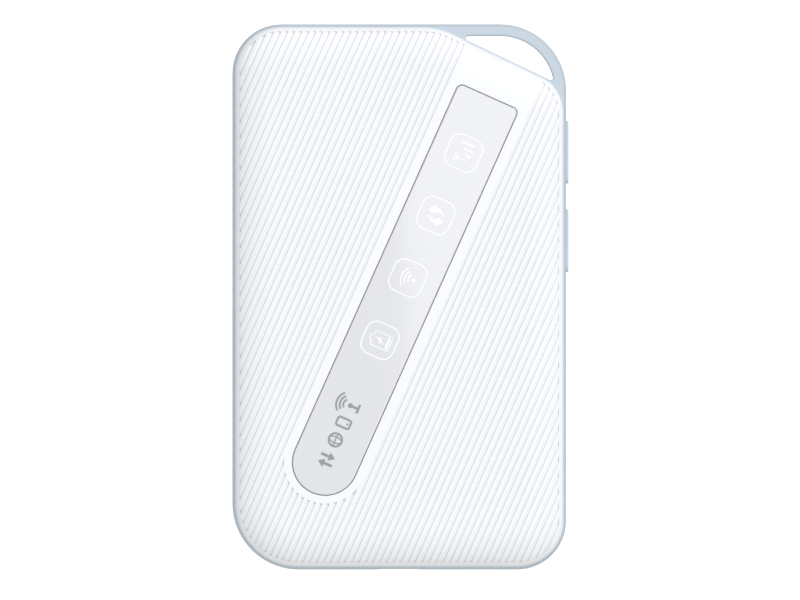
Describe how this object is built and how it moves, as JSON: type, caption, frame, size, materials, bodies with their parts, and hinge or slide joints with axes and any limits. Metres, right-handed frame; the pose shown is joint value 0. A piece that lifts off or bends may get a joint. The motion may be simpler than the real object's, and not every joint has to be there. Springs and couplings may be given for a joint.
{
  "type": "mobile hotspot",
  "caption": "Pocket 4G mobile hotspot: ribbed front cover with a slanted status window, lanyard loop frame, side keys, removable rear cover and battery.",
  "frame": {"origin": "middle of the back face, on which the hotspot lies", "axes": "+X across the hotspot, towards the side with the keys; +Y along it, away from the charging port; +Z out of the front face"},
  "size_m": [0.0604, 0.098, 0.0136],
  "materials": {
    "white_shell": "fine satin white moulded plastic",
    "blue_frame": "satin light blue moulded plastic",
    "key": "satin light blue moulded plastic",
    "window": "gloss pale grey window plate",
    "tape": "adhesive ring",
    "board": "green circuit board",
    "steel": "plated steel",
    "shield": "tin-plated sheet",
    "foam": "soft foam",
    "pad": "soft thermal pad",
    "switch_body": "black switch housing",
    "plunger": "ivory switch plunger",
    "battery_wrap": "dark film wrap",
    "dark_plastic": "black moulded plastic",
    "gold": "gold-plated contacts",
    "chip": "black chip package",
    "lamp": "light emitting diode",
    "film": "milky diffusing film",
    "aerial": "copper flex on a plastic carrier"
  },
  "bodies": {
    "root": {"front_cover": "white_shell", "window_lens": "window", "lens_tape": "tape", "mid_frame": "blue_frame", "main_board": "board", "case_screws": "steel", "battery_foam": "foam", "thermal_pad": "pad", "power_switch": "switch_body", "function_switch": "switch_body", "contact_block": "dark_plastic", "contact_springs": "gold", "usb_shell": "steel", "usb_tongue": "dark_plastic", "sim_base": "dark_plastic", "sim_shell": "steel", "reset_switch": "switch_body", "modem_shield": "shield", "radio_shield": "shield", "modem_chip": "chip", "memory_chip": "chip", "radio_chip": "chip", "power_chip": "chip", "board_coils": "chip", "status_lamps": "lamp", "light_baffle": "dark_plastic", "light_film": "film", "main_antenna": "aerial", "wireless_antenna": "aerial", "antenna_springs": "gold"},
    "power_key": {"power_button": "key", "power_plunger": "plunger"},
    "function_key": {"function_button": "key", "function_plunger": "plunger"},
    "reset_key": {"reset_plunger": "plunger"},
    "rear_shell": {"back_cover": "white_shell"},
    "battery": {"battery_pack": "battery_wrap", "battery_cap": "dark_plastic", "battery_pads": "gold"}
  },
  "joints": [
    {"name": "power_press", "type": "slide", "parent": "root", "child": "power_key", "axis": [-1, 0, 0], "range_m": [0, 0.0003], "stiffness_N_per_m": 400},
    {"name": "function_press", "type": "slide", "parent": "root", "child": "function_key", "axis": [-1, 0, 0], "range_m": [0, 0.0003], "stiffness_N_per_m": 400},
    {"name": "reset_press", "type": "slide", "parent": "root", "child": "reset_key", "axis": [0, 0, 1], "range_m": [0, 0.00025], "stiffness_N_per_m": 300},
    {"name": "rear_shell_pull", "type": "slide", "parent": "root", "child": "rear_shell", "axis": [0, 0, -1], "range_m": [0, 0.016]},
    {"name": "battery_lift", "type": "slide", "parent": "root", "child": "battery", "axis": [0, 0, -1], "range_m": [0, 0.008]}
  ],
  "couplings": [
    {"joint": "battery_lift", "follows": "rear_shell_pull", "ratio": 0.5}
  ]
}
